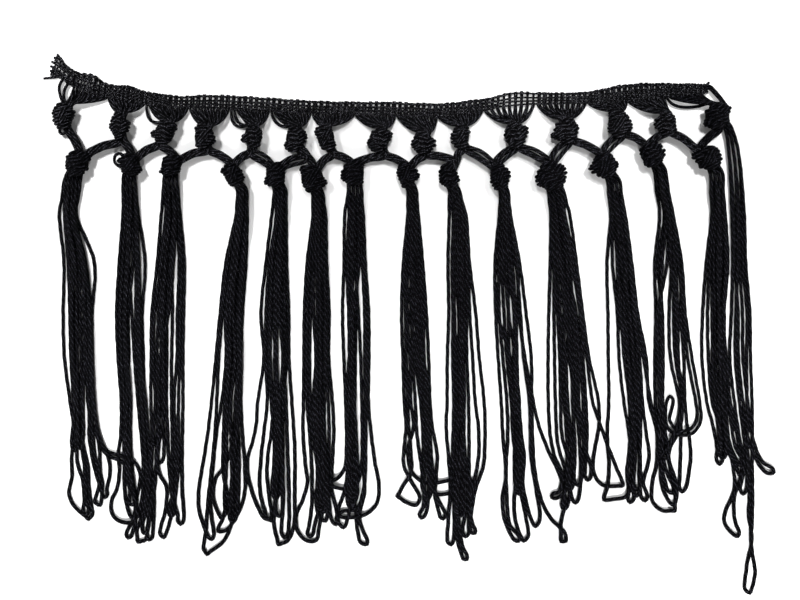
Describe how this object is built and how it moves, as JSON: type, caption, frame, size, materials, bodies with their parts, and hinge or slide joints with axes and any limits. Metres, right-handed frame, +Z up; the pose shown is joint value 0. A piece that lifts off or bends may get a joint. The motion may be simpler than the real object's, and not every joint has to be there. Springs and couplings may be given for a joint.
{
  "type": "tassel fringe trim",
  "caption": "Black knotted tassel fringe trim: a narrow knitted heading, fans of cord gathered in knots, and looped tassels, lying flat.",
  "frame": {"origin": "on the surface that the trim lies on, at the middle of its length and depth", "axes": "+X along the heading, to the right in the picture; +Y from the tassels toward the heading; +Z up"},
  "size_m": [0.3298, 0.2438, 0.0089],
  "materials": {
    "heading": "matt black yarn, knitted into a narrow band",
    "fan_knot_01": "matt black twisted cord, gathered and knotted",
    "fan_knot_02": "matt black twisted cord, gathered and knotted",
    "fan_knot_03": "matt black twisted cord, gathered and knotted",
    "fan_knot_04": "matt black twisted cord, gathered and knotted",
    "fan_knot_05": "matt black twisted cord, gathered and knotted",
    "fan_knot_06": "matt black twisted cord, gathered and knotted",
    "fan_knot_07": "matt black twisted cord, gathered and knotted",
    "fan_knot_08": "matt black twisted cord, gathered and knotted",
    "fan_knot_09": "matt black twisted cord, gathered and knotted",
    "fan_knot_10": "matt black twisted cord, gathered and knotted",
    "fan_knot_11": "matt black twisted cord, gathered and knotted",
    "fan_knot_12": "matt black twisted cord, gathered and knotted",
    "fan_knot_13": "matt black twisted cord, gathered and knotted",
    "fan_knot_14": "matt black twisted cord, gathered and knotted",
    "fan_knot_15": "matt black twisted cord, gathered and knotted",
    "tassel_01": "matt black twisted cord, knotted over uncut loops",
    "tassel_02": "matt black twisted cord, knotted over uncut loops",
    "tassel_03": "matt black twisted cord, knotted over uncut loops",
    "tassel_04": "matt black twisted cord, knotted over uncut loops",
    "tassel_05": "matt black twisted cord, knotted over uncut loops",
    "tassel_06": "matt black twisted cord, knotted over uncut loops",
    "tassel_07": "matt black twisted cord, knotted over uncut loops",
    "tassel_08": "matt black twisted cord, knotted over uncut loops",
    "tassel_09": "matt black twisted cord, knotted over uncut loops",
    "tassel_10": "matt black twisted cord, knotted over uncut loops",
    "tassel_11": "matt black twisted cord, knotted over uncut loops",
    "tassel_12": "matt black twisted cord, knotted over uncut loops",
    "tassel_13": "matt black twisted cord, knotted over uncut loops",
    "tassel_14": "matt black twisted cord, knotted over uncut loops"
  },
  "bodies": {
    "root": {"heading": "heading", "fan_knot_01": "fan_knot_01", "fan_knot_02": "fan_knot_02", "fan_knot_03": "fan_knot_03", "fan_knot_04": "fan_knot_04", "fan_knot_05": "fan_knot_05", "fan_knot_06": "fan_knot_06", "fan_knot_07": "fan_knot_07", "fan_knot_08": "fan_knot_08", "fan_knot_09": "fan_knot_09", "fan_knot_10": "fan_knot_10", "fan_knot_11": "fan_knot_11", "fan_knot_12": "fan_knot_12", "fan_knot_13": "fan_knot_13", "fan_knot_14": "fan_knot_14", "fan_knot_15": "fan_knot_15", "tassel_01": "tassel_01", "tassel_02": "tassel_02", "tassel_03": "tassel_03", "tassel_04": "tassel_04", "tassel_05": "tassel_05", "tassel_06": "tassel_06", "tassel_07": "tassel_07", "tassel_08": "tassel_08", "tassel_09": "tassel_09", "tassel_10": "tassel_10", "tassel_11": "tassel_11", "tassel_12": "tassel_12", "tassel_13": "tassel_13", "tassel_14": "tassel_14"}
  },
  "joints": []
}
